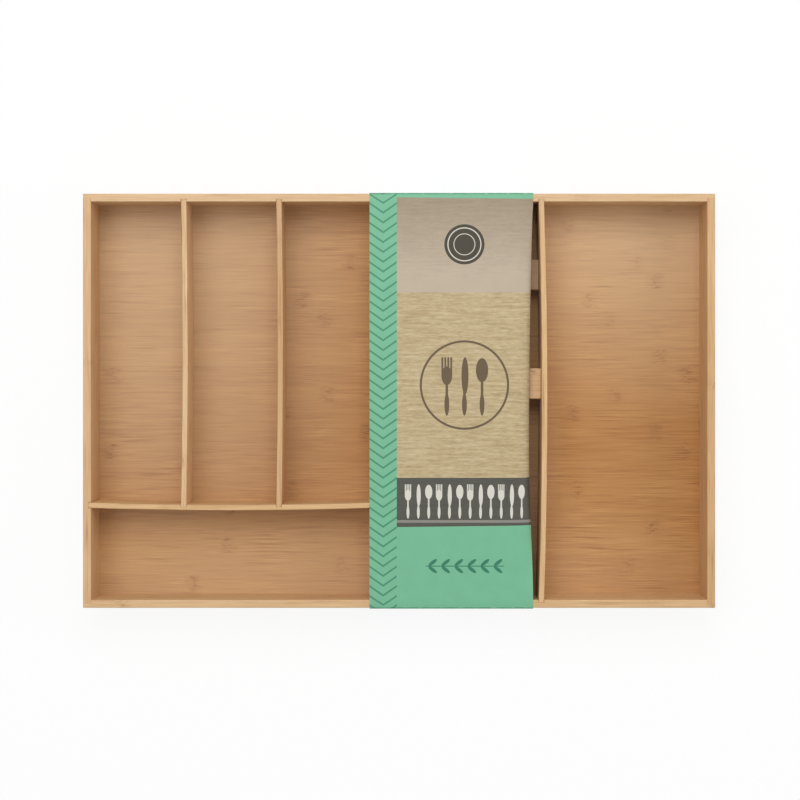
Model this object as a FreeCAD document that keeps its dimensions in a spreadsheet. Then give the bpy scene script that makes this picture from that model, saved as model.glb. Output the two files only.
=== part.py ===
# Bamboo cutlery tray for a kitchen drawer, held in a band of folded card.
# Frame: +X to the right, +Y to the back, +Z up, in millimetres. The origin lies on the
# underside of the card band, below the middle of the tray.
import FreeCAD
import Part
import Sketcher
import os
import re

SIZES = {
    # Box of four boards, rabbeted together at the corners
    "tray_width": 580,
    "tray_depth": 380,
    "tray_height": 50,
    "wall_thickness": 7.4,
    "wall_edge_radius": 0.8,
    "rabbet_depth": 3.5,
    # Base panel, let into a groove round the box
    "base_thickness": 4,
    "base_recess": 3,
    "groove_depth": 3.5,
    "groove_clearance": 0.15,
    # Divider slats, let into dados that are open at the rim
    "divider_thickness": 5,
    "divider_setdown": 0.3,
    "divider_edge_radius": 0.8,
    "dado_depth": 2.4,
    "dado_clearance": 0.1,
    # Bays between the dividers
    "cutlery_bay_width": 82.4,
    "knife_bay_width": 148.4,
    "small_bay_depth": 84.2,
    # Slats are sprung in, and bow sideways by this much at mid-length
    "left_divider_bow": 1.4,
    "middle_divider_bow": 1.3,
    "utensil_divider_bow": 3.1,
    "cross_divider_bow": 2.2,
    # Slotted knife rests, glued on the base
    "rest_width": 28.6,
    "rest_end_clearance": 0.2,
    "rest_edge_radius": 1.5,
    "rear_rest_height": 22,
    "front_rest_height": 30,
    "rear_rest_inset": 51.7,
    "rest_spacing": 101,
    "slot_width": 5,
    "slot_pitch": 13.4,
    "slot_floor": 9,
    "slot_end_margin": 6,
    # Band of card round the tray
    "card_thickness": 0.5,
    "sleeve_width": 150,
    "sleeve_inset": 262.9,
    "sleeve_clearance": 0.2,
    "fold_radius": 0.4,
    "glue_flap_width": 16,
    # Cuts run this far past the faces that they open
    "cut_overrun": 2,
}

# Places and lengths that follow from the sizes
INNER_X = "(tray_width / 2 - wall_thickness)"
INNER_Y = "(tray_depth / 2 - wall_thickness)"
BASE_TOP = "(base_recess + base_thickness)"
DIVIDER_HEIGHT = f"(tray_height - divider_setdown - {BASE_TOP})"
BAY_STEP = "(cutlery_bay_width + divider_thickness)"
LEFT_DIVIDER_X = f"({BAY_STEP} - divider_thickness / 2 - {INNER_X})"
MIDDLE_DIVIDER_X = f"({LEFT_DIVIDER_X} + {BAY_STEP})"
KNIFE_DIVIDER_X = f"({MIDDLE_DIVIDER_X} + {BAY_STEP})"
UTENSIL_DIVIDER_X = f"({KNIFE_DIVIDER_X} + knife_bay_width + divider_thickness)"
CROSS_DIVIDER_X = f"(({LEFT_DIVIDER_X} + {MIDDLE_DIVIDER_X}) / 2)"
CROSS_DIVIDER_Y = f"(small_bay_depth + divider_thickness / 2 - {INNER_Y})"
TONGUE = "(dado_depth - dado_clearance)"
CROSS_LENGTH = f"(3 * {BAY_STEP} - divider_thickness + 2 * {TONGUE})"
THROUGH_LENGTH = f"(2 * {INNER_Y} + 2 * {TONGUE})"
SLEEVE_INNER_TOP = "(tray_height + card_thickness)"
SLEEVE_TOP = f"({SLEEVE_INNER_TOP} + card_thickness)"
FLAP_TOP = "(card_thickness + glue_flap_width)"


def arc_radius(length, bow):
    """Radius of a slat of this length that bows by this much."""
    return f"(({length} ^ 2 / 4 + {bow} ^ 2) / (2 * {bow}))"


def bow_at(offset, length, bow):
    """How far such a slat has bowed at this offset from its middle."""
    radius = arc_radius(length, bow)
    return f"(sqrt({radius} ^ 2 - {offset} ^ 2) - {radius} + {bow})"


def dado_width(length, bow):
    """A dado takes the slat's thickness, its clearance and the slant of its bowed end."""
    slant = f"4 * dado_depth * {bow} / {length}"
    return f"(divider_thickness + 2 * dado_clearance + 2 * {slant})"


# The two short dividers end in the bowed back face of the cross divider
SHORT_OFFSET = f"({BAY_STEP} / 2)"
CROSS_BOW_THERE = bow_at(SHORT_OFFSET, CROSS_LENGTH, "cross_divider_bow")
SHORT_SPAN = f"({INNER_Y} - {CROSS_DIVIDER_Y} - divider_thickness / 2 + {CROSS_BOW_THERE})"
SHORT_LENGTH = f"({SHORT_SPAN} + 2 * {TONGUE})"
SHORT_DIVIDER_Y = f"({INNER_Y} - {SHORT_SPAN} / 2)"
LEFT_DADO = dado_width(SHORT_LENGTH, "left_divider_bow")
MIDDLE_DADO = dado_width(SHORT_LENGTH, "middle_divider_bow")
KNIFE_DADO = dado_width(THROUGH_LENGTH, "0")
UTENSIL_DADO = dado_width(THROUGH_LENGTH, "utensil_divider_bow")
CROSS_DADO = dado_width(CROSS_LENGTH, "cross_divider_bow")

doc = FreeCAD.newDocument("cutlery_tray")
sheet = doc.addObject("Spreadsheet::Sheet", "sizes")
for row, (alias, number) in enumerate(SIZES.items(), start=1):
    sheet.set(f"A{row}", alias)
    sheet.set(f"B{row}", str(number))
    sheet.setAlias(f"B{row}", alias)
doc.recompute()


def bound(text):
    """Expression text with every size read from the sheet."""
    return re.sub(r"[a-z_]+", lambda word: "sizes." * (word[0] in SIZES) + word[0], text)


def value(text):
    """What an expression comes to now."""
    return float(sheet.evalExpression(bound(text)))


def new_body(label, x="0", y="0", z="card_thickness", turn=0):
    """An empty body at a place in the tray, turned about the vertical."""
    body = doc.addObject("PartDesign::Body", label)
    body.Label = label
    body.Placement.Rotation = FreeCAD.Rotation(FreeCAD.Vector(0, 0, 1), turn)
    for axis, text in zip("xyz", (x, y, z)):
        body.setExpression(f"Placement.Base.{axis}", bound(text))
    return body


def new_sketch(body, name, role, height="0"):
    """A sketch on one of the body's own origin planes, or at a height above it."""
    sketch = body.newObject("Sketcher::SketchObject", name)
    plane = next(part for part in body.Origin.OriginFeatures if part.Role == role)
    sketch.AttachmentSupport = [(plane, "")]
    sketch.MapMode = "FlatFace"
    sketch.setExpression("AttachmentOffset.Base.z", bound(height))
    return sketch


def pin_start(sketch, line, x, y):
    """Binds the start of a line to a place given by two expressions."""
    for kind, text in (("DistanceX", x), ("DistanceY", y)):
        number = sketch.addConstraint(Sketcher.Constraint(kind, -1, 1, line, 1, value(text)))
        sketch.setExpression(f"Constraints[{number}]", bound(text))


def draw_outline(sketch, corners):
    """A closed outline of straight edges through corners given as expressions."""
    first = sketch.GeometryCount
    spots = [FreeCAD.Vector(value(x), value(y), 0) for x, y in corners]
    for start, end in zip(spots, spots[1:] + spots[:1]):
        sketch.addGeometry(Part.LineSegment(start, end), False)
    for index, (x, y) in enumerate(corners):
        following = first + (index + 1) % len(corners)
        sketch.addConstraint(Sketcher.Constraint("Coincident", first + index, 2, following, 1))
        pin_start(sketch, first + index, x, y)


def draw_rectangle(sketch, left, bottom, right, top):
    draw_outline(sketch, [(left, bottom), (right, bottom), (right, top), (left, top)])


def draw_bowed_strip(sketch, length, thickness, bow):
    """A strip along X whose long sides are arcs that bow towards +Y, with square ends."""
    radius = arc_radius(length, bow)
    half, side = value(f"{length} / 2"), value(f"{thickness} / 2")
    upright = FreeCAD.Vector(0, 0, 1)
    right, left = [
        sketch.addGeometry(
            Part.LineSegment(
                FreeCAD.Vector(sign * half, -sign * side, 0),
                FreeCAD.Vector(sign * half, sign * side, 0),
            ),
            False,
        )
        for sign in (1, -1)
    ]
    for line, sign in ((right, ""), (left, "-")):
        other = "" if sign else "-"
        pin_start(sketch, line, f"{sign}{length} / 2", f"{other}{thickness} / 2")
        sketch.addConstraint(Sketcher.Constraint("Vertical", line))
        number = sketch.addConstraint(Sketcher.Constraint("Distance", line, value(thickness)))
        sketch.setExpression(f"Constraints[{number}]", bound(thickness))
    for sign, right_end, left_end in ((1, 2, 1), (-1, 1, 2)):
        centre = FreeCAD.Vector(0, sign * side + value(f"{bow} - {radius}"), 0)
        towards_end = FreeCAD.Vector(half, sign * side, 0) - centre
        start = towards_end.getAngle(FreeCAD.Vector(1, 0, 0))
        finish = towards_end.getAngle(FreeCAD.Vector(-1, 0, 0))
        circle = Part.Circle(centre, upright, value(radius))
        arc = sketch.addGeometry(Part.ArcOfCircle(circle, start, finish), False)
        sketch.addConstraint(Sketcher.Constraint("Coincident", arc, 1, right, right_end))
        sketch.addConstraint(Sketcher.Constraint("Coincident", arc, 2, left, left_end))
        number = sketch.addConstraint(Sketcher.Constraint("Radius", arc, value(radius)))
        sketch.setExpression(f"Constraints[{number}]", bound(radius))


def add_pad(body, sketch, length, symmetric=False):
    pad = body.newObject("PartDesign::Pad", f"{sketch.Name}_pad")
    pad.Profile = sketch
    pad.SideType = "Symmetric" if symmetric else "One side"
    pad.setExpression("Length", bound(length))
    doc.recompute()
    return pad


def add_pocket(body, sketch, depth=None, symmetric=False):
    """Cuts down from a sketch, right through where no depth is given."""
    before = body.Shape.Volume
    pocket = body.newObject("PartDesign::Pocket", f"{sketch.Name}_pocket")
    pocket.Profile = sketch
    pocket.SideType = "Symmetric" if symmetric else "One side"
    pocket.Type = "Length" if depth else "ThroughAll"
    if depth:
        pocket.setExpression("Length", bound(depth))
    doc.recompute()
    if body.Shape.Volume >= before:
        raise RuntimeError(f"{pocket.Name} cuts nothing")
    return pocket


def round_edges(body, name, feature, radius, wanted):
    """Rounds the feature's edges whose boxes the test picks."""
    edges = enumerate(feature.Shape.Edges, start=1)
    names = [f"Edge{number}" for number, edge in edges if wanted(edge.BoundBox)]
    fillet = body.newObject("PartDesign::Fillet", name)
    fillet.Base = (feature, names)
    fillet.setExpression("Radius", bound(radius))
    doc.recompute()
    return fillet


def runs_along_x(box):
    return box.XLength > box.YLength + box.ZLength


def cut_dados(body, dados, near, far, top, depth=None):
    """Square housings cut down from the rim, each given by its middle and its width."""
    sketch = new_sketch(body, f"{body.Name}_dados", "XY_Plane", top)
    for middle, width in dados:
        draw_rectangle(sketch, f"{middle} - {width} / 2", near, f"{middle} + {width} / 2", far)
    add_pocket(body, sketch, depth)


def shape_wall(body, length, wanted_edges, dados):
    """A board along X, outer face at Y zero, with the base groove and its dados inside."""
    section = new_sketch(body, f"{body.Name}_section", "YZ_Plane")
    draw_rectangle(section, "0", "0", "wall_thickness", "tray_height")
    board = add_pad(body, section, length, symmetric=True)
    round_edges(body, f"{body.Name}_easing", board, "wall_edge_radius", wanted_edges)
    groove = new_sketch(body, f"{body.Name}_groove", "YZ_Plane")
    draw_rectangle(
        groove,
        "wall_thickness - groove_depth",
        "base_recess",
        "wall_thickness + cut_overrun",
        f"{BASE_TOP} + groove_clearance",
    )
    add_pocket(body, groove, symmetric=True)
    if dados:
        near, far = "wall_thickness - dado_depth", "wall_thickness + cut_overrun"
        cut_dados(body, dados, near, far, "tray_height", f"tray_height - {BASE_TOP}")


def make_long_wall(label, y, turn, dados):
    """Front or back board: its rabbeted ends lap over the side walls."""
    body = new_body(label, y=y, turn=turn)
    shape_wall(body, "tray_width", lambda box: True, dados)
    rabbets = new_sketch(body, f"{label}_rabbets", "XY_Plane", "tray_height")
    near, far = "wall_thickness - rabbet_depth", "wall_thickness + cut_overrun"
    end = "tray_width / 2 + cut_overrun"
    draw_rectangle(rabbets, INNER_X, near, end, far)
    draw_rectangle(rabbets, f"-({end})", near, f"-{INNER_X}", far)
    add_pocket(body, rabbets)
    return body


def make_side_wall(label, x, turn, dados):
    """Left or right board: its square ends sit in the rabbets of the long walls."""
    body = new_body(label, x=x, turn=turn)
    length = "tray_depth - 2 * wall_thickness + 2 * rabbet_depth"
    shape_wall(body, length, runs_along_x, dados)
    return body


def make_base_panel():
    """One thin panel, held loose in the groove so that it can swell and shrink."""
    body = new_body("base_panel", z="card_thickness + base_recess")
    sketch = new_sketch(body, "base_outline", "XY_Plane")
    reach = "groove_depth - groove_clearance"
    right, back = f"({INNER_X} + {reach})", f"({INNER_Y} + {reach})"
    draw_rectangle(sketch, f"-{right}", f"-{back}", right, back)
    add_pad(body, sketch, "base_thickness")
    return body


def make_divider(label, x, y, turn, length, bow=None):
    """An upright slat along its own X that stands on the base, with eased upper edges."""
    body = new_body(label, x, y, f"card_thickness + {BASE_TOP}", turn)
    outline = new_sketch(body, f"{label}_outline", "XY_Plane")
    if bow:
        draw_bowed_strip(outline, length, "divider_thickness", bow)
    else:
        end, side = f"{length} / 2", "divider_thickness / 2"
        draw_rectangle(outline, f"-{end}", f"-{side}", end, side)
    slat = add_pad(body, outline, DIVIDER_HEIGHT)
    middle = value(DIVIDER_HEIGHT) / 2
    upper = lambda box: runs_along_x(box) and box.ZMin > middle
    round_edges(body, f"{label}_easing", slat, "divider_edge_radius", upper)
    return body


def house_ends(body, dados, bowed="0"):
    """Dados in the side of a slat, for the ends of the slats that meet it."""
    near = "-divider_thickness / 2 - cut_overrun"
    far = f"-divider_thickness / 2 + {bowed} + dado_depth"
    cut_dados(body, dados, near, far, DIVIDER_HEIGHT)


def make_knife_rest(label, y, height):
    """A bar across the knife bay with a row of upright slots, one for each blade.

    Its right end reaches to the bowed utensil divider."""
    middle = f"({KNIFE_DIVIDER_X} + {UTENSIL_DIVIDER_X}) / 2"
    body = new_body(label, middle, y, f"card_thickness + {BASE_TOP}")
    end, side = "(knife_bay_width / 2 - rest_end_clearance)", "rest_width / 2"
    bow_there = bow_at(f"(abs({y}) + {side})", THROUGH_LENGTH, "utensil_divider_bow")
    outline = new_sketch(body, f"{label}_outline", "XY_Plane")
    draw_rectangle(outline, f"-{end}", f"-{side}", f"{end} + {bow_there}", side)
    bar = add_pad(body, outline, height)
    half_height = value(height) / 2
    upper = lambda box: runs_along_x(box) and box.ZMin > half_height
    round_edges(body, f"{label}_easing", bar, "rest_edge_radius", upper)

    steps = f"floor((2 * {end} - 2 * slot_end_margin - slot_width) / slot_pitch)"
    row = f"({steps} * slot_pitch)"
    slot = new_sketch(body, f"{label}_slot", "XZ_Plane")
    left, right = f"-{row} / 2 - slot_width / 2", f"-{row} / 2 + slot_width / 2"
    draw_rectangle(slot, left, "slot_floor", right, f"{height} + cut_overrun")
    cut = add_pocket(body, slot, symmetric=True)
    slots = body.newObject("PartDesign::LinearPattern", f"{label}_slots")
    slots.Originals = [cut]
    slots.Direction = (slot, ["H_Axis"])
    slots.setExpression("Length", bound(row))
    slots.setExpression("Occurrences", bound(f"{steps} + 1"))
    body.Tip = slots
    doc.recompute()
    return body


def panel_face(height):
    """Inner face of the sleeve's front and back panels at a height.

    They are close to the tray at its rim, and lean out below by the room that the flap takes."""
    lean = f"card_thickness * ({SLEEVE_TOP} - {height}) / ({SLEEVE_TOP} - {FLAP_TOP})"
    return f"(tray_depth / 2 + sleeve_clearance + {lean})"


def make_card_sleeve():
    """A flat tube of card: four panels, rounded folds and a glue flap inside the back."""
    body = new_body("card_sleeve", "sleeve_inset + (sleeve_width - tray_width) / 2", z="0")
    section = new_sketch(body, "sleeve_section", "YZ_Plane")
    low_outer = f"({panel_face('0')} + card_thickness)"
    high_outer = f"({panel_face(SLEEVE_TOP)} + card_thickness)"
    low_inner, high_inner = panel_face("card_thickness"), panel_face(SLEEVE_INNER_TOP)
    flap_edge = panel_face(FLAP_TOP)
    draw_outline(
        section,
        [
            (f"-{low_outer}", "0"),
            (low_outer, "0"),
            (high_outer, SLEEVE_TOP),
            (f"-{high_outer}", SLEEVE_TOP),
        ],
    )
    draw_outline(
        section,
        [
            (f"-{low_inner}", "card_thickness"),
            (f"{low_inner} - card_thickness", "card_thickness"),
            (f"{flap_edge} - card_thickness", FLAP_TOP),
            (flap_edge, FLAP_TOP),
            (high_inner, SLEEVE_INNER_TOP),
            (f"-{high_inner}", SLEEVE_INNER_TOP),
        ],
    )
    band = add_pad(body, section, "sleeve_width", symmetric=True)
    low_card, high_card = value("card_thickness / 2"), value(f"{SLEEVE_TOP} - card_thickness / 2")
    mid_flap, mid_height = value("glue_flap_width / 2"), value(SLEEVE_TOP) / 2
    within = lambda box: low_card < box.Center.z < high_card
    on_flap = lambda box: mid_flap < box.Center.z < mid_height
    inside = lambda box: runs_along_x(box) and within(box) and not on_flap(box)
    outside = lambda box: runs_along_x(box) and not within(box)
    creased = round_edges(body, "inner_folds", band, "fold_radius", inside)
    round_edges(body, "outer_folds", creased, "fold_radius + card_thickness", outside)
    return body


FRONT_DADOS = [(KNIFE_DIVIDER_X, KNIFE_DADO), (UTENSIL_DIVIDER_X, UTENSIL_DADO)]
BACK_DADOS = [
    (f"-{LEFT_DIVIDER_X}", LEFT_DADO),
    (f"-{MIDDLE_DIVIDER_X}", MIDDLE_DADO),
    (f"-{KNIFE_DIVIDER_X}", KNIFE_DADO),
    (f"-{UTENSIL_DIVIDER_X}", UTENSIL_DADO),
]
CROSS_DADOS = [(f"-{CROSS_DIVIDER_Y}", CROSS_DADO)]

# A turn of -90 makes a piece's own X run to the front and its own Y to the right
front_wall = make_long_wall("front_wall", "-tray_depth / 2", 0, FRONT_DADOS)
back_wall = make_long_wall("back_wall", "tray_depth / 2", 180, BACK_DADOS)
left_wall = make_side_wall("left_wall", "-tray_width / 2", -90, CROSS_DADOS)
right_wall = make_side_wall("right_wall", "tray_width / 2", 90, [])
base_panel = make_base_panel()

left_divider = make_divider(
    "left_divider", LEFT_DIVIDER_X, SHORT_DIVIDER_Y, -90, SHORT_LENGTH, "left_divider_bow"
)
middle_divider = make_divider(
    "middle_divider", MIDDLE_DIVIDER_X, SHORT_DIVIDER_Y, -90, SHORT_LENGTH, "middle_divider_bow"
)
cross_divider = make_divider(
    "cross_divider", CROSS_DIVIDER_X, CROSS_DIVIDER_Y, 180, CROSS_LENGTH, "cross_divider_bow"
)
house_ends(
    cross_divider,
    [(SHORT_OFFSET, LEFT_DADO), (f"-{SHORT_OFFSET}", MIDDLE_DADO)],
    CROSS_BOW_THERE,
)
knife_divider = make_divider("knife_divider", KNIFE_DIVIDER_X, "0", -90, THROUGH_LENGTH)
house_ends(knife_divider, CROSS_DADOS)
utensil_divider = make_divider(
    "utensil_divider", UTENSIL_DIVIDER_X, "0", -90, THROUGH_LENGTH, "utensil_divider_bow"
)

REAR_REST_Y = f"({INNER_Y} - rear_rest_inset - rest_width / 2)"
rear_knife_rest = make_knife_rest("rear_knife_rest", REAR_REST_Y, "rear_rest_height")
front_knife_rest = make_knife_rest(
    "front_knife_rest", f"{REAR_REST_Y} - rest_spacing", "front_rest_height"
)
card_sleeve = make_card_sleeve()

doc.recompute()
failed = [part.Name for part in doc.Objects if {"Invalid", "Error"} & set(part.State)]
if failed:
    raise RuntimeError(f"objects failed: {failed}")
bodies = [part for part in doc.Objects if part.isDerivedFrom("PartDesign::Body")]
for body in bodies:
    if body.Shape.isNull() or not body.Shape.isValid() or len(body.Shape.Solids) != 1:
        raise RuntimeError(f"{body.Label} is not one valid solid")

os.makedirs("parts", exist_ok=True)
for body in bodies:
    body.Shape.exportStep(f"parts/{body.Label}.step")
    print(f"{body.Label}: {body.Shape.Volume / 1000:.1f} cubic cm")
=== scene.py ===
import math

import bmesh
import bpy
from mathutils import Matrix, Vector


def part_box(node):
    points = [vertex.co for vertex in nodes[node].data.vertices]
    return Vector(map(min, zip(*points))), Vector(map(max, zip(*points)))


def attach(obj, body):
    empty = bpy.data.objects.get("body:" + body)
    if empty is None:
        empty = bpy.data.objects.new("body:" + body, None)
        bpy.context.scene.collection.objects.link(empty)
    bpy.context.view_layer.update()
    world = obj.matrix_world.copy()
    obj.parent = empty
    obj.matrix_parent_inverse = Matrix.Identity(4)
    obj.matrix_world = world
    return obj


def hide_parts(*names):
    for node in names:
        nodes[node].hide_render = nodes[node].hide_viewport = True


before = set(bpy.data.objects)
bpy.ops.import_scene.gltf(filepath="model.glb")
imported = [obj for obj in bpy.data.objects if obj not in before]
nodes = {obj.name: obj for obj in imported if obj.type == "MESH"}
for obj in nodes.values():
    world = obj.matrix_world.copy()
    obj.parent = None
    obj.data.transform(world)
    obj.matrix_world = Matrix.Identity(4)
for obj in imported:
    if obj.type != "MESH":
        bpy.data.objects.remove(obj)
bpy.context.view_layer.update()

# Camera
# A long lens looks straight down on the tray from a little right of and behind its middle.
# The shift brings the tray back to the middle of the square picture.
SENSOR_WIDTH = 0.036
PICTURE_WIDTH_AT_RIM = 0.7336
RIM_HEIGHT = 0.0505
CAMERA_HEIGHT = 1.633
CAMERA_X = 0.010
CAMERA_Y = 0.036
CAMERA_SHIFT_X = -0.0125
CAMERA_SHIFT_Y = -0.0481
bpy.ops.object.select_all(action="DESELECT")
bpy.ops.object.camera_add(location=(CAMERA_X, CAMERA_Y, CAMERA_HEIGHT), rotation=(0, 0, 0))
camera = bpy.context.active_object
camera.data.sensor_width = SENSOR_WIDTH * 1000
camera.data.lens = SENSOR_WIDTH * 1000 * (CAMERA_HEIGHT - RIM_HEIGHT) / PICTURE_WIDTH_AT_RIM
camera.data.shift_x = CAMERA_SHIFT_X
camera.data.shift_y = CAMERA_SHIFT_Y
bpy.context.scene.camera = camera
bpy.context.scene.view_settings.view_transform = "Standard"


# Studio
# A white floor, an even white room and three soft lamps: behind, high on the left and low on the right.
# Room and lamps together give a level surface the light at which a colour renders as written.
def linear(colour):
    """An sRGB hex colour as linear red, green, blue and alpha."""
    parts = [int(colour[i:i + 2], 16) / 255 for i in (1, 3, 5)]
    return [c / 12.92 if c <= 0.04045 else ((c + 0.055) / 1.055) ** 2.4 for c in parts] + [1]


def put(tree, kind, inputs, out=0, **settings):
    """Adds a node with its settings and inputs, linked where an input is a socket, and gives an output."""
    made = tree.nodes.new("ShaderNode" + kind)
    for name, setting in settings.items():
        setattr(made, name, setting)
    for name, value in inputs.items():
        if isinstance(value, bpy.types.NodeSocket):
            tree.links.new(value, made.inputs[name])
        else:
            made.inputs[name].default_value = value
    return made.outputs[out] if made.outputs else made


def new_tree(owner):
    """The empty node tree of a material or world."""
    owner.use_nodes = True
    owner.node_tree.nodes.clear()
    return owner.node_tree


# The room's share of the light on the tray, and how white it looks to the camera and in gloss.
ROOM_LIGHT = 0.44
ROOM_SEEN = 0.96
bpy.context.scene.world = bpy.data.worlds.new("white_room")
room = new_tree(bpy.context.scene.world)
ray = put(room, "LightPath", {}).node.outputs
seen = put(room, "Math", {0: ray["Is Camera Ray"], 1: ray["Is Glossy Ray"]}, operation="MAXIMUM")
seen = put(room, "Math", {0: seen, 1: ray["Is Transmission Ray"]}, operation="MAXIMUM")
strength = put(room, "MapRange", {"Value": seen, "To Min": ROOM_LIGHT, "To Max": ROOM_SEEN})
sky = put(room, "Background", {"Color": linear("#FFFFFF"), "Strength": strength})
put(room, "OutputWorld", {"Surface": sky})

# Each lamp's place, its width and its share of the light on a level surface at the tray.
# The power is the one at which that share of full white falls on the surface from that place.
LAMPS = {
    "back_lamp": ((0.0, 1.1, 1.85), 1.2, 0.34),
    "left_lamp": ((-1.0, 0.3, 1.9), 0.9, 0.17),
    "right_lamp": ((1.6, 0.2, 0.9), 0.8, 0.09),
}
for lamp_name, (spot, width, share) in LAMPS.items():
    spot = Vector(spot)
    turned = spot.to_track_quat("Z", "Y").to_euler()
    bpy.ops.object.select_all(action="DESELECT")
    bpy.ops.object.light_add(type="AREA", location=spot, rotation=turned)
    lamp = bpy.context.active_object
    lamp.name = lamp_name
    lamp.data.size = width
    lamp.data.energy = share * math.pi ** 2 * spot.length ** 3 / spot.z

# The floor is matt white paper. It looks white by itself and keeps a faint soft shadow of the tray.
FLOOR_SIZE = 8.0
FLOOR_OWN_WHITE = 0.89
bpy.ops.mesh.primitive_plane_add(size=FLOOR_SIZE)
floor = bpy.context.active_object
floor.name = "floor"
paper = bpy.data.materials.new("white_paper_floor")
tree = new_tree(paper)
ray = put(tree, "LightPath", {}).node.outputs
seen = put(tree, "Math", {0: ray["Is Camera Ray"], 1: ray["Is Glossy Ray"]}, operation="MAXIMUM")
share = put(tree, "Math", {0: seen, 1: FLOOR_OWN_WHITE}, operation="MULTIPLY")
matte = put(tree, "BsdfDiffuse", {"Color": linear("#FAFAFA")})
white = put(tree, "Emission", {"Color": linear("#FFFFFF"), "Strength": 1.0})
both = put(tree, "MixShader", {0: share, 1: matte, 2: white})
put(tree, "OutputMaterial", {"Surface": both})
floor.data.materials.append(paper)


# Base panel
# A thin panel of bamboo strips laid flat, glued edge to edge along the tray's length and sanded.
# It slides into a groove round all four walls before the box is closed.
def bamboo(name, grain, strips, strip_width, shift, colours, knuckle_share=1.0, glare_patches=()):
    """Sanded bamboo under matt clear lacquer, as strips with fine fibres along them.

    The eye sees honey-coloured strips of nearly one tone, threads and smears of browner fibre in
    loose clusters, and in each strip every 20 to 30 cm a knuckle, a soft patch of short bent dashes.
    grain is the axis of the fibres and strips the axis that the strips lie side by side on.
    The patches given last are the middles and reaches of pale veils of painted glare laid over the wood.
    """
    # Length and width of each kind of mark, in metres.
    FIBRE = (0.034, 0.0011)
    BAND = (0.130, 0.0042)
    SMEAR = (0.070, 0.0023)
    PORE = (0.007, 0.0009)
    DASH = (0.0085, 0.0019)
    CLOUD = 0.090
    CLUSTER = 0.034
    JOINT = 0.0004
    KNUCKLE_SPACING = 0.27
    KNUCKLE_HALF = 0.0115
    KNUCKLE_LINE = 0.0022
    KNUCKLE_WAVE = 0.0035
    STRIP_SHIFT = 7.0
    # How much each adds to the wood's tone, which runs from deep at 0 to pale at 1.
    TONE_START = -0.10
    STRIP_TONE = 0.16
    BAND_TONE = 0.55
    CLOUD_TONE = 0.5
    FIBRE_LEAST = 0.76
    FIBRE_CLUSTERED = 1.4
    # The colour of the painted glare, a pale veil over the wood, its share in the midst of a patch,
    # how far out it stays in full, and how fast the marks fade under it.
    GLARE_VEIL = linear("#EED9B7")
    GLARE_MOST = 0.32
    GLARE_FULL = 0.36
    MARKS_LOST_UNDER_GLARE = 2.0
    FIBRE_HEIGHT = 0.00008
    finish = bpy.data.materials.new(name)
    tree = new_tree(finish)
    pale, deep, line = (linear(c) for c in colours)
    spot = put(tree, "TexCoord", {}, out="Object")
    turn = (0, 0, -math.pi / 2) if grain == "Y" else (0, 0, 0)
    place = put(tree, "Mapping", {"Vector": spot, "Rotation": turn, "Location": shift})
    split = put(tree, "SeparateXYZ", {0: place}).node.outputs
    # Each strip has its own number, tone and shift along the grain.
    count = put(tree, "Math", {0: split[strips], 1: 1 / strip_width}, operation="MULTIPLY")
    number = put(tree, "Math", {0: count}, operation="FLOOR")
    own = put(tree, "TexWhiteNoise", {"W": number}, noise_dimensions="1D")
    run = put(tree, "Math", {0: own, 1: STRIP_SHIFT, 2: split["X"]}, operation="MULTIPLY_ADD")
    strip_place = put(tree, "CombineXYZ", {0: run, 1: split["Y"], 2: split["Z"]})
    # Fibres, broader bands, brown smears, pores and dashes are noise drawn out along the grain.
    streaks = []
    for (length, width), bend in ((FIBRE, 0.2), (BAND, 0), (SMEAR, 0.15), (PORE, 0), (DASH, 0.9)):
        stretch = (1 / length, 1 / width, 1 / width)
        drawn = put(tree, "VectorMath", {0: strip_place, 1: stretch}, operation="MULTIPLY")
        look = {"Vector": drawn, "Scale": 1.0, "Detail": 2.5, "Roughness": 0.55, "Distortion": bend}
        streaks.append(put(tree, "TexNoise", look))
    fine, broad, smear, pore, dash = streaks
    cloud = put(tree, "TexNoise", {"Vector": strip_place, "Scale": 1 / CLOUD, "Detail": 1.0})
    cluster = put(tree, "TexNoise", {"Vector": place, "Scale": 1 / CLUSTER, "Detail": 1.0})
    cluster = put(tree, "MapRange", {"Value": cluster, "From Min": 0.34, "From Max": 0.66})
    # The fibres are plain in one place and strong in the next.
    strong = {0: cluster, 1: FIBRE_CLUSTERED, 2: FIBRE_LEAST}
    strong = put(tree, "Math", strong, operation="MULTIPLY_ADD")
    thread = put(tree, "Math", {0: fine, 1: 0.5}, operation="SUBTRACT")
    tone = put(tree, "Math", {0: own, 1: STRIP_TONE, 2: TONE_START}, operation="MULTIPLY_ADD")
    tone = put(tree, "Math", {0: thread, 1: strong, 2: tone}, operation="MULTIPLY_ADD")
    tone = put(tree, "Math", {0: broad, 1: BAND_TONE, 2: tone}, operation="MULTIPLY_ADD")
    tone = {0: cloud, 1: CLOUD_TONE, 2: tone}
    tone = put(tree, "Math", tone, operation="MULTIPLY_ADD", use_clamp=True)
    colour = put(tree, "Mix", {0: tone, 6: deep, 7: pale}, out=2, data_type="RGBA")
    smear = put(tree, "MapRange", {"Value": smear, "From Min": 0.56, "From Max": 0.76, "To Max": 0.75})
    much = put(tree, "Math", {0: cluster, 1: 0.75, 2: 0.25}, operation="MULTIPLY_ADD")
    smear = put(tree, "Math", {0: smear, 1: much}, operation="MULTIPLY")
    pore = put(tree, "MapRange", {"Value": pore, "From Min": 0.68, "From Max": 0.8, "To Max": 0.4})
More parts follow.
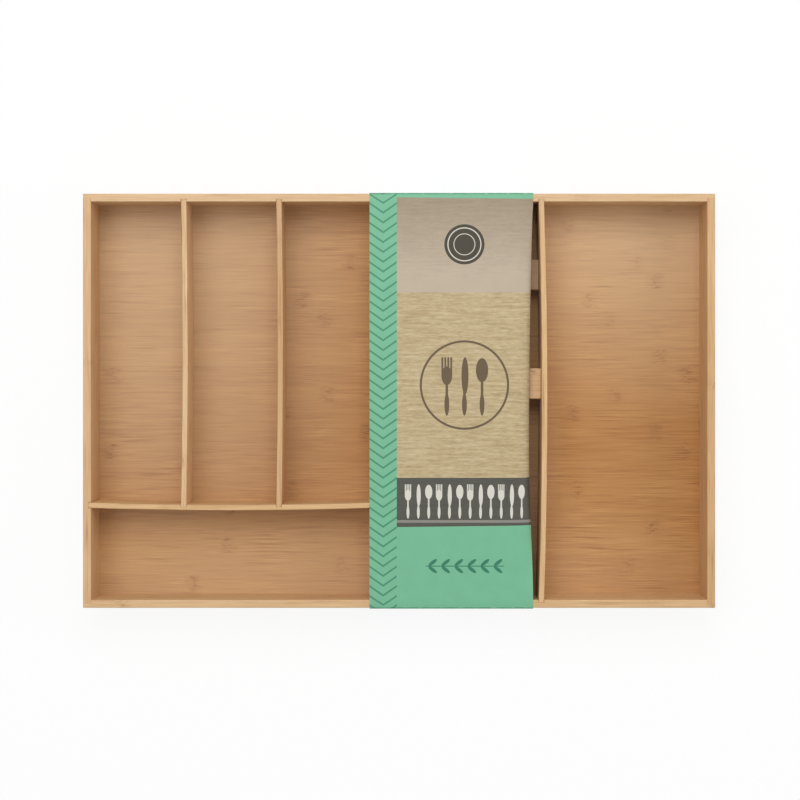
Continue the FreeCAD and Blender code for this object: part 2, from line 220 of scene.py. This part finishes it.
    # A knuckle lies at its own place in each strip and fades out towards the strip's sides.
    side = put(tree, "Math", {0: count}, operation="FRACT")
    side = put(tree, "Math", {0: side, 1: 0.5}, operation="SUBTRACT")
    side = put(tree, "Math", {0: side}, operation="ABSOLUTE")
    wave = put(tree, "Math", {0: broad, 1: 0.5}, operation="SUBTRACT")
    lap = put(tree, "Math", {0: run, 1: 1 / KNUCKLE_SPACING}, operation="MULTIPLY")
    lap = put(tree, "Math", {0: lap, 1: 0.5, 2: -0.5}, operation="WRAP")
    wave = put(tree, "Math", {0: wave, 1: 4 * KNUCKLE_WAVE / KNUCKLE_SPACING}, operation="MULTIPLY")
    lap = put(tree, "Math", {0: lap, 1: wave}, operation="ADD")
    lap = put(tree, "Math", {0: lap}, operation="ABSOLUTE")
    knuckle = []
    for reach, share in ((KNUCKLE_HALF, 0.8), (KNUCKLE_LINE, 0.2)):
        edge = reach / KNUCKLE_SPACING
        ends = {"Value": lap, "From Min": edge, "From Max": 0.0, "To Max": share}
        knuckle.append(put(tree, "MapRange", ends, interpolation_type="SMOOTHSTEP"))
    dash = put(tree, "MapRange", {"Value": dash, "From Min": 0.42, "From Max": 0.66, "To Min": 0.06})
    knuckle = put(tree, "Math", {0: knuckle[0], 1: knuckle[1]}, operation="ADD")
    knuckle = put(tree, "Math", {0: knuckle, 1: dash}, operation="MULTIPLY")
    fade = put(tree, "MapRange", {"Value": side, "From Min": 0.5, "From Max": 0.34})
    knuckle = put(tree, "Math", {0: knuckle, 1: fade}, operation="MULTIPLY")
    # Some knuckles are strong and some hardly show.
    own_share = {"Value": cloud, "From Min": 0.36, "From Max": 0.62}
    own_share |= {"To Min": 0.4 * knuckle_share, "To Max": knuckle_share}
    own_share = put(tree, "MapRange", own_share)
    knuckle = put(tree, "Math", {0: knuckle, 1: own_share}, operation="MULTIPLY")
    # Thin glue lines show between strips here and there.
    near_joint = {"Value": side, "From Min": 0.5 - JOINT / strip_width, "From Max": 0.5}
    joint = put(tree, "MapRange", near_joint)
    faint = put(tree, "MapRange", {"Value": broad, "From Min": 0.46, "From Max": 0.66, "To Max": 0.45})
    joint = put(tree, "Math", {0: joint, 1: faint}, operation="MULTIPLY")
    mark = put(tree, "Math", {0: smear, 1: knuckle}, operation="MAXIMUM")
    mark = put(tree, "Math", {0: mark, 1: pore}, operation="MAXIMUM")
    mark = put(tree, "Math", {0: mark, 1: joint}, operation="MAXIMUM")
    # Painted glare: where a pale veil is laid over the wood, its marks are fainter too.
    if glare_patches:
        painted_glare = 0.0
        for middle, reach in glare_patches:
            near = {"Vector": spot, "Location": middle, "Scale": reach}
            near = put(tree, "Mapping", near, vector_type="TEXTURE")
            far = put(tree, "VectorMath", {0: near}, out="Value", operation="LENGTH")
            share = {"Value": far, "From Min": 1.0, "From Max": GLARE_FULL, "To Max": GLARE_MOST}
            share = put(tree, "MapRange", share)
            painted_glare = put(tree, "Math", {0: painted_glare, 1: share}, operation="MAXIMUM")
        colour = put(tree, "Mix", {0: painted_glare, 6: colour, 7: GLARE_VEIL}, out=2, data_type="RGBA")
        left = put(tree, "Math", {0: painted_glare, 1: -MARKS_LOST_UNDER_GLARE, 2: 1.0}, operation="MULTIPLY_ADD")
        mark = put(tree, "Math", {0: mark, 1: left}, operation="MULTIPLY")
    colour = put(tree, "Mix", {0: mark, 6: colour, 7: line}, out=2, data_type="RGBA")
    # Fibres stand a few hundredths of a millimetre proud and break the lacquer's gloss.
    rough = put(tree, "MapRange", {"Value": fine, "To Min": 0.60, "To Max": 0.46})
    height = put(tree, "Math", {0: fine, 1: mark}, operation="SUBTRACT")
    bump = put(tree, "Bump", {"Height": height, "Strength": 0.35, "Distance": FIBRE_HEIGHT})
    surface = put(
        tree,
        "BsdfPrincipled",
        {"Base Color": colour, "Roughness": rough, "Normal": bump, "IOR": 1.5},
    )
    put(tree, "OutputMaterial", {"Surface": surface})
    return finish


BASE_STRIP = 0.0178
BASE_COLOURS = ("#C18E51", "#A16A34", "#824D20")
# The panel has pale veils of painted glare at the back left, the back right, along the front and in the
# knife bay.
BASE_GLARE_PATCHES = (
    ((-0.22, 0.383, 0), (0.24, 0.70, 1)),
    ((0.22, 0.245, 0), (0.29, 0.27, 1)),
    ((-0.12, -0.34, 0), (0.60, 0.295, 1)),
    ((0.07, -0.05, 0), (0.085, 0.45, 1)),
)
base_bamboo = bamboo(
    "bamboo_base", "X", "Y", BASE_STRIP, (0.31, 0.004, 0), BASE_COLOURS, glare_patches=BASE_GLARE_PATCHES
)
nodes["base_panel"].data.materials.clear()
nodes["base_panel"].data.materials.append(base_bamboo)

# Outer walls
# Four planed bamboo boards, the long ones rabbeted over the ends of the short ones and glued.
# Their top edges are the palest wood of the tray, with the grain along each board.
WALL_STRIP = 0.0205
WALL_KNUCKLES = 0.6
WALLS = {
    "back_wall": ("X", (0.12, 0, 0.0060), ("#E1C096", "#C89F70", "#99693A")),
    "front_wall": ("X", (1.35, 0, 0.0020), ("#DEBB8E", "#C49A69", "#966636")),
    "left_wall": ("Y", (2.41, 0, 0.0080), ("#DDB98C", "#C39867", "#966636")),
    "right_wall": ("Y", (3.78, 0, 0.0040), ("#D7B182", "#BC8F5D", "#8F5F30")),
}
for wall, (grain, shift, colours) in WALLS.items():
    nodes[wall].data.materials.clear()
    nodes[wall].data.materials.append(
        bamboo("bamboo_" + wall, grain, "Z", WALL_STRIP, shift, colours, WALL_KNUCKLES)
    )

# Dividers
# Five thin slats of the same bamboo, held only by their ends in dados, so most of them have bowed.
# They stand a hair below the rim of the walls.
SLAT_STRIP = 0.0215
SLAT_KNUCKLES = 0.6
SLATS = {
    "left_divider": ("Y", (4.12, 0, 0.0050), ("#E2C094", "#C79D6C", "#99693A")),
    "middle_divider": ("Y", (5.27, 0, 0.0010), ("#D4AE80", "#B88B59", "#8A5A2C")),
    "knife_divider": ("Y", (6.33, 0, 0.0070), ("#DAB585", "#BE915F", "#905F30")),
    "utensil_divider": ("Y", (7.51, 0, 0.0030), ("#E2BF90", "#C89C67", "#966636")),
    "cross_divider": ("X", (8.06, 0, 0.0050), ("#DFBB8A", "#C39764", "#946434")),
}
for slat, (grain, shift, colours) in SLATS.items():
    nodes[slat].data.materials.clear()
    nodes[slat].data.materials.append(
        bamboo("bamboo_" + slat, grain, "Z", SLAT_STRIP, shift, colours, SLAT_KNUCKLES)
    )

# Knife rests
# Two bars sawn with ten slots for the knife blades, glued on the base panel under the sleeve.
# The bar at the back is lower and takes the tips, the taller one takes the blades.
REST_STRIP = 0.0146
# The rear bar is coloured darker than the front one.
RESTS = {
    "rear_knife_rest": ((9.24, 0.003, 0.0010), ("#C5A47F", "#AC855B", "#835933")),
    "front_knife_rest": ((10.42, 0.006, 0.0040), ("#E2C096", "#C69B6A", "#966839")),
}
for rest, (shift, colours) in RESTS.items():
    nodes[rest].data.materials.clear()
    nodes[rest].data.materials.append(
        bamboo("bamboo_" + rest, "X", "Y", REST_STRIP, shift, colours)
    )

# Card sleeve
# A band of half-millimetre card, creased at four folds round the tray and glued inside the back.
# Its free right edge has curled down into the knife bay. The print is matt ink under thin varnish.
CARD = 0.0005
FOLD_RADIUS = 0.0012
FOLD_SEGMENTS = 3
FLAP_HEIGHT = 0.016
FLAP_GAP = 0.00004
LEAN = 0.00073
ROW_LENGTH = 0.0096
COLUMN_WIDTH = 0.0125
CURL_LENGTH = 0.024
CURL_COLUMN = 0.002


def pick(piece, kind, test):
    """In edit mode, selects only the faces or edges that pass the test."""
    bpy.ops.mesh.select_mode(type="FACE" if kind == "faces" else "EDGE")
    bpy.ops.mesh.select_all(action="DESELECT")
    shape = bmesh.from_edit_mesh(piece.data)
    shape.normal_update()
    for element in getattr(shape, kind):
        if test(element):
            element.select_set(True)
    bmesh.update_edit_mesh(piece.data)


def cut(piece, places, direction):
    """Cuts the whole piece by planes across that direction."""
    for place in places:
        bpy.ops.mesh.select_all(action="SELECT")
        bpy.ops.mesh.bisect(plane_co=[place * d for d in direction], plane_no=direction)


low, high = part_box("card_sleeve")
bpy.ops.object.select_all(action="DESELECT")
bpy.ops.mesh.primitive_cube_add(size=1, location=(low + high) / 2)
sleeve = bpy.context.active_object
sleeve.name = sleeve.data.name = "printed_sleeve"
sleeve.scale = high - low
bpy.ops.object.transform_apply(location=True, rotation=True, scale=True)
bpy.ops.object.mode_set(mode="EDIT")
pick(sleeve, "faces", lambda face: abs(face.normal.x) > 0.9)
bpy.ops.mesh.delete(type="ONLY_FACE")
pick(sleeve, "edges", lambda edge: abs(edge.verts[0].co.x - edge.verts[1].co.x) > CARD)
bpy.ops.mesh.bevel(offset=FOLD_RADIUS, segments=FOLD_SEGMENTS, affect="EDGES")
curl_start = high.x - CURL_LENGTH
columns = math.ceil((curl_start - low.x) / COLUMN_WIDTH)
curl_columns = round(CURL_LENGTH / CURL_COLUMN)
rows = round((high.y - low.y) / ROW_LENGTH)
cut(sleeve, [low.x + (curl_start - low.x) * i / columns for i in range(1, columns + 1)], (1, 0, 0))
cut(sleeve, [curl_start + CURL_COLUMN * i for i in range(1, curl_columns)], (1, 0, 0))
cut(sleeve, [low.y + (high.y - low.y) * i / rows for i in range(1, rows)], (0, 1, 0))
cut(sleeve, [low.z + FLAP_HEIGHT], (0, 0, 1))
bpy.ops.object.mode_set(mode="OBJECT")

# The layout of the print follows the card round its folds, in metres from the back left corner.
layout = sleeve.data.uv_layers.new(name="print_layout")
for face in sleeve.data.polygons:
    for corner in face.loop_indices:
        spot = sleeve.data.vertices[sleeve.data.loops[corner].vertex_index].co
        if face.normal.z > 0.7:
            down = high.y - spot.y
        elif face.normal.y < -0.7:
            down = high.y - low.y + high.z - spot.z
        elif face.normal.y > 0.7:
            down = spot.z - high.z
        else:
            down = high.y - low.y + high.z - low.z + spot.y - low.y
        layout.data[corner].uv = (spot.x - low.x, down)

# The flap is the last 16 mm of the card, folded up inside the back panel and glued to it.
bpy.ops.object.mode_set(mode="EDIT")
pick(
    sleeve,
    "faces",
    lambda face: face.normal.y > 0.99 and face.calc_center_median().z < low.z + FLAP_HEIGHT,
)
bpy.ops.mesh.duplicate()
bpy.ops.transform.translate(value=(0, -CARD - FLAP_GAP, CARD))
bpy.ops.object.mode_set(mode="OBJECT")

# Front and back panels are close to the tray at its rim and lean out a little towards the bottom.
for point in sleeve.data.vertices:
    if abs(point.co.y) > high.y - 2 * FOLD_RADIUS:
        risen = (point.co.z - low.z) / (high.z - low.z)
        point.co.y -= math.copysign(LEAN * risen, point.co.y)

# The curl turns down ever more steeply towards the edge, and keeps the card's width.
# Where it is strongest it draws the edge back by 3.2 mm and lets it hang 8 mm below the card's plane.
# It fades out towards the front and, more suddenly, at the back wall.
CURL_DRAWN_BACK = 0.0032
CURL_MIDDLE = -0.045
CURL_TO_BACK = 0.2265
CURL_TO_FRONT = 0.140
CURL_BACK_POWER = 0.42
CURL_STEPS = 24
# A small slope that grows with the square of the way draws the edge back by a tenth of the curl's
# length times the square of the last slope. CURL_STEEP allows for slopes that aren't small.
CURL_TENTH = 10
CURL_STEEP = 1.03
for point in sleeve.data.vertices:
    if point.co.x <= curl_start or point.co.z < high.z - FOLD_RADIUS / 2:
        continue
    off = point.co.y - CURL_MIDDLE
    span, power = (CURL_TO_BACK, CURL_BACK_POWER) if off > 0 else (CURL_TO_FRONT, 1)
    hump = (0.5 + 0.5 * math.cos(math.pi * min(1, abs(off) / span))) ** power
    steepest = math.sqrt(CURL_TENTH * CURL_DRAWN_BACK * hump / CURL_LENGTH) * CURL_STEEP
    reach = point.co.x - curl_start
    step = reach / CURL_STEPS
    for i in range(CURL_STEPS):
        slope = steepest * ((i + 0.5) * step / CURL_LENGTH) ** 2
        point.co.x += step * (math.cos(slope) - 1)
        point.co.z -= step * math.sin(slope)

ink = bpy.data.materials.new("printed_card_varnished")
raw = bpy.data.materials.new("grey_board")
sleeve.data.materials.append(ink)
sleeve.data.materials.append(raw)
thick = sleeve.modifiers.new("card_thickness", "SOLIDIFY")
thick.thickness = CARD
thick.offset = -1
thick.use_even_offset = True
thick.material_offset = 1
thick.material_offset_rim = 1
bpy.ops.object.modifier_apply(modifier=thick.name)
bpy.ops.object.shade_smooth_by_angle(angle=math.radians(35))

# Printed face: flat even ink under a thin varnish, which gives the eye clear colours with a soft sheen.
# Areas of colour lie below each other, a wood grain under the pale ones, with plain motifs in them.
# All its lengths are in millimetres, to the right and down from the back left corner.
STRIP_WIDTH = 25.0
FIELD_MIDDLE = 87.5
EDGE_END = 4.2
TAUPE_END = 92.0
KRAFT_END = 262.0
BAND_END = 307.5
TOP_END = (high.y - low.y) * 1000
GREEN = linear("#76B893")
GREEN_DARK = linear("#357A5E")
TAUPE = linear("#BDAE99")
TAUPE_DARK = linear("#93846D")
KRAFT = linear("#D0BF99")
KRAFT_DARK = linear("#A48E65")
CHARCOAL = linear("#4A4942")
CHARCOAL_PALE = linear("#58564E")
SMOKE = linear("#8B8880")
SILVER = linear("#D9D5CA")
BROWN = linear("#66543F")
BADGE_DARK = linear("#413D32")
BADGE_LINE = linear("#D8D2C4")
CRACKED_BOARD = linear("#C9CDBE")
tree = new_tree(ink)


def inside(tree, place, kind, centre, half, turn=0.0):
    """1 within an oval or a bar of the print, 0 outside it."""
    near = put(
        tree,
        "Mapping",
        {"Vector": place, "Location": (*centre, 0), "Rotation": (0, 0, turn), "Scale": (*half, 1)},
        vector_type="TEXTURE",
    )
    near = put(tree, "VectorMath", {0: near, 1: (1, 1, 0)}, operation="MULTIPLY")
    if kind == "oval":
        far = put(tree, "VectorMath", {0: near}, out="Value", operation="LENGTH")
    else:
        near = put(tree, "VectorMath", {0: near}, operation="ABSOLUTE")
        split = put(tree, "SeparateXYZ", {0: near}).node.outputs
        far = put(tree, "Math", {0: split[0], 1: split[1]}, operation="MAXIMUM")
    return put(tree, "Math", {0: far, 1: 1.0}, operation="LESS_THAN")


def ring(tree, place, centre, outer, inner):
    """1 between two circles of the print, given by their radii, and 0 elsewhere."""
    disc = inside(tree, place, "oval", centre, (outer, outer))
    hole = inside(tree, place, "oval", centre, (inner, inner))
    return put(tree, "Math", {0: disc, 1: hole}, operation="SUBTRACT")


def joined(tree, masks):
    """1 where any of the masks is."""
    whole = masks[0]
    for mask in masks[1:]:
        whole = put(tree, "Math", {0: whole, 1: mask}, operation="MAXIMUM")
    return whole


def printed(tree, ground, layers):
    """The ground with one layer of ink after another over it, each a mask and a colour."""
    for mask, colour in layers:
        ground = put(tree, "Mix", {0: mask, 6: ground, 7: colour}, out=2, data_type="RGBA")
    return ground


def row_cell(tree, right, down, width, level):
    """The place from the middle of each cell of a row. Two cells meet at the middle of the field."""
    along = put(tree, "Math", {0: right, 1: FIELD_MIDDLE - width / 2}, operation="SUBTRACT")
    along = put(tree, "Math", {0: along, 1: width / 2, 2: -width / 2}, operation="WRAP")
    across = put(tree, "Math", {0: down, 1: level}, operation="SUBTRACT")
    return put(tree, "CombineXYZ", {0: along, 1: across})


def cutlery(tree, place):
    """A fork, a knife and a spoon side by side, about 31 tall, as plain silhouettes."""
    STEP = 9.5
    marks = [inside(tree, place, "bar", (x, 4), (0.7, 8)) for x in (-STEP, 0, STEP)]
    marks += [inside(tree, place, "oval", (x, 10.5), (1.3, 6)) for x in (-STEP, 0, STEP)]
    marks += [inside(tree, place, "bar", (-STEP + x, -10), (0.5, 5)) for x in (-2.4, -0.8, 0.8, 2.4)]
    marks.append(inside(tree, place, "oval", (-STEP, -5), (2.9, 5)))
    marks.append(inside(tree, place, "oval", (0.3, -5), (1.9, 10)))
    marks.append(inside(tree, place, "oval", (STEP, -8), (3.3, 6.5)))
    return joined(tree, marks)


place = put(tree, "UVMap", {}, uv_map="print_layout")
place = put(tree, "Mapping", {"Vector": place, "Scale": (1000, 1000, 1000)})
right, down = put(tree, "SeparateXYZ", {0: place}).node.outputs[:2]

# Wood grain of the pale areas: streaks 28 mm long, 2.6 mm apart, and flecks 6 mm long, 1.5 mm apart.
streaks = []
for length, width in ((28, 2.6), (6, 1.5)):
    drawn = put(tree, "VectorMath", {0: place, 1: (1 / length, 1 / width, 0)}, operation="MULTIPLY")
    look = {"Vector": drawn, "Scale": 1.0, "Detail": 3.0, "Roughness": 0.6, "Distortion": 0.3}
    streaks.append(put(tree, "TexNoise", look))
grain = put(tree, "Math", {0: streaks[0], 1: 1.3, 2: streaks[1]}, operation="MULTIPLY_ADD")
grain = put(tree, "MapRange", {"Value": grain, "From Min": 0.75, "From Max": 1.55})
fade = put(tree, "MapRange", {"Value": down, "From Min": EDGE_END, "From Max": TAUPE_END})
faded = put(tree, "Math", {0: grain, 1: 0.35, 2: fade}, operation="MULTIPLY_ADD", use_clamp=True)

# The pale field with a ringed emblem.
EMBLEM = (87.0, 177.0)
EMBLEM_SCALE = 1.7
emblem_place = put(
    tree,
    "Mapping",
    {"Vector": place, "Location": (*EMBLEM, 0), "Scale": (EMBLEM_SCALE, EMBLEM_SCALE, 1)},
    vector_type="TEXTURE",
)
emblem = joined(tree, [ring(tree, place, EMBLEM, 41, 39), cutlery(tree, emblem_place)])
kraft = printed(tree, KRAFT_DARK, [(grain, KRAFT), (emblem, BROWN)])

# The grey field, darker towards the back, with a round badge.
BADGE = (87.0, 48.0)
BADGE_RADIUS = 18.4
disc = inside(tree, place, "oval", BADGE, (BADGE_RADIUS, BADGE_RADIUS))
taupe = [(faded, TAUPE), (disc, BADGE_DARK)]
for outer, inner in ((15.6, 14.6), (10.0, 9.3)):
    taupe.append((ring(tree, place, BADGE, outer, inner), BADGE_LINE))
taupe = printed(tree, TAUPE_DARK, taupe)

# The dark band with a row of four sets of cutlery and a rail below it.
BAND_MIDDLE = 283.0
CUTLERY_CELL = 28.5
RAIL = (FIELD_MIDDLE, 302.0)
row = cutlery(tree, row_cell(tree, right, down, CUTLERY_CELL, BAND_MIDDLE))
on_row = inside(tree, place, "bar", (FIELD_MIDDLE, BAND_MIDDLE), (CUTLERY_CELL * 2, 20))
row = put(tree, "Math", {0: row, 1: on_row}, operation="MULTIPLY")
rail = inside(tree, place, "bar", RAIL, (70, 1.2))
band = printed(tree, CHARCOAL, [(grain, CHARCOAL_PALE), (row, SILVER), (rail, SMOKE)])

# The green areas: chevrons down the strip, a row of six pairs of leaves across the panel.
CHEVRON_SPACING = 9.0
CHEVRON_LINE = 2.0
CHEVRON_SLOPE = 0.7
CHEVRON_INK = 0.75
arm = put(tree, "Math", {0: right, 1: STRIP_WIDTH / 2}, operation="SUBTRACT")
arm = put(tree, "Math", {0: arm}, operation="ABSOLUTE")
wave = put(tree, "Math", {0: arm, 1: CHEVRON_SLOPE, 2: down}, operation="MULTIPLY_ADD")
wave = put(tree, "Math", {0: wave, 1: CHEVRON_SPACING, 2: 0.0}, operation="WRAP")
chevron = put(tree, "Math", {0: wave, 1: CHEVRON_LINE}, operation="LESS_THAN")
chevron = put(tree, "Math", {0: chevron, 1: CHEVRON_INK}, operation="MULTIPLY")
strip = printed(tree, GREEN, [(chevron, GREEN_DARK)])
LEAF_CELL = 12.0
LEAF = (4.8, 1.6)
LEAF_TURN = math.radians(38)
STEM_HALF = 0.45
GARLAND = 343.0
leaf_place = row_cell(tree, right, down, LEAF_CELL, GARLAND)
leaves = [
    inside(tree, leaf_place, "oval", (0.4, -3.3), LEAF, -LEAF_TURN),
    inside(tree, leaf_place, "oval", (0.4, 3.3), LEAF, LEAF_TURN),
    inside(tree, leaf_place, "bar", (0, 0), (LEAF_CELL, STEM_HALF)),
]
on_garland = inside(tree, place, "bar", (FIELD_MIDDLE, GARLAND), (LEAF_CELL * 3, 12))
leaves = put(tree, "Math", {0: joined(tree, leaves), 1: on_garland}, operation="MULTIPLY")
panel = printed(tree, GREEN, [(leaves, GREEN_DARK)])

# The areas one below the other, cut a little out of square, with the strip down the left side.
areas = []
for start, slant, area in (
    (EDGE_END, -0.011, taupe),
    (TAUPE_END, 0.0, kraft),
    (KRAFT_END, 0.0, band),
    (BAND_END, 0.012, panel),
    (TOP_END, 0.0, GREEN),
):
    level = put(tree, "Math", {0: right, 1: slant, 2: down}, operation="MULTIPLY_ADD")
    areas.append((put(tree, "Math", {0: level, 1: start}, operation="GREATER_THAN"), area))
areas.append((put(tree, "Math", {0: right, 1: STRIP_WIDTH}, operation="LESS_THAN"), strip))
face_colour = printed(tree, GREEN, areas)

# Along the folds a darker green is painted in, painted shade where the card turns away from the light, and
# the ink is cracked here and there down to the pale board.
FOLD_REACH = 1.9
FOLD_CORE = 0.9
HEIGHT = (high.z - low.z) * 1000
rub = put(tree, "VectorMath", {0: place, 1: (1 / 4, 1 / 1.5, 0)}, operation="MULTIPLY")
rub = put(tree, "TexNoise", {"Vector": rub, "Scale": 1.0, "Detail": 3.0, "Roughness": 0.6})
crack = put(tree, "MapRange", {"Value": rub, "From Min": 0.60, "From Max": 0.68, "To Max": 0.6})
# How much painted shade each fold takes, broken up by the same noise.
fold_shade_share = {"Value": rub, "From Min": 0.70, "From Max": 0.35, "To Min": 0.15, "To Max": 0.8}
fold_shade_share = put(tree, "MapRange", fold_shade_share)
for fold in (-HEIGHT, 0, TOP_END, TOP_END + HEIGHT):
    off = put(tree, "Math", {0: down, 1: fold}, operation="SUBTRACT")
    off = put(tree, "Math", {0: off}, operation="ABSOLUTE")
    line = put(tree, "MapRange", {"Value": off, "From Min": FOLD_REACH, "From Max": FOLD_CORE})
    painted_fold_shade = put(tree, "Math", {0: line, 1: fold_shade_share}, operation="MULTIPLY")
    bare = put(tree, "Math", {0: line, 1: crack}, operation="MULTIPLY")
    face_colour = printed(tree, face_colour, [(painted_fold_shade, GREEN_DARK), (bare, CRACKED_BOARD)])

# Slight cloudiness of the ink, 14 mm across, and the card's fine tooth, 0.7 mm.
INK_CLOUD = 14
TOOTH = 0.7
TOOTH_HEIGHT = 0.00003
cloud = put(tree, "TexNoise", {"Vector": place, "Scale": 1 / INK_CLOUD, "Detail": 3.0})
cloud = put(tree, "MapRange", {"Value": cloud, "To Min": 0.93, "To Max": 1.05})
face_colour = put(tree, "VectorMath", {0: face_colour, 1: cloud}, operation="MULTIPLY")
tooth = put(tree, "TexNoise", {"Vector": place, "Scale": 1 / TOOTH, "Detail": 2.0})
bump = put(tree, "Bump", {"Height": tooth, "Strength": 0.2, "Distance": TOOTH_HEIGHT})
rough = put(tree, "MapRange", {"Value": tooth, "To Min": 0.42, "To Max": 0.55})
surface = put(
    tree,
    "BsdfPrincipled",
    {"Base Color": face_colour, "Roughness": rough, "Normal": bump, "Specular IOR Level": 0.3},
)
put(tree, "OutputMaterial", {"Surface": surface})

# Inside and cut edges: unprinted grey board, dull and warm grey, with short fibres 1.6 mm apart in it.
FLECK = 0.0016
FLECK_HEIGHT = 0.00004
tree = new_tree(raw)
place = put(tree, "TexCoord", {}, out="Object")
flecks = put(tree, "TexNoise", {"Vector": place, "Scale": 1 / FLECK, "Detail": 4.0})
flecks = put(tree, "MapRange", {"Value": flecks, "From Min": 0.35, "From Max": 0.65})
colour = put(
    tree, "Mix", {0: flecks, 6: linear("#B5AB9A"), 7: linear("#CDC5B6")}, out=2, data_type="RGBA"
)
bump = put(tree, "Bump", {"Height": flecks, "Strength": 0.2, "Distance": FLECK_HEIGHT})
surface = put(tree, "BsdfPrincipled", {"Base Color": colour, "Roughness": 0.85, "Normal": bump})
put(tree, "OutputMaterial", {"Surface": surface})
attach(sleeve, "sleeve")
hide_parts("card_sleeve")
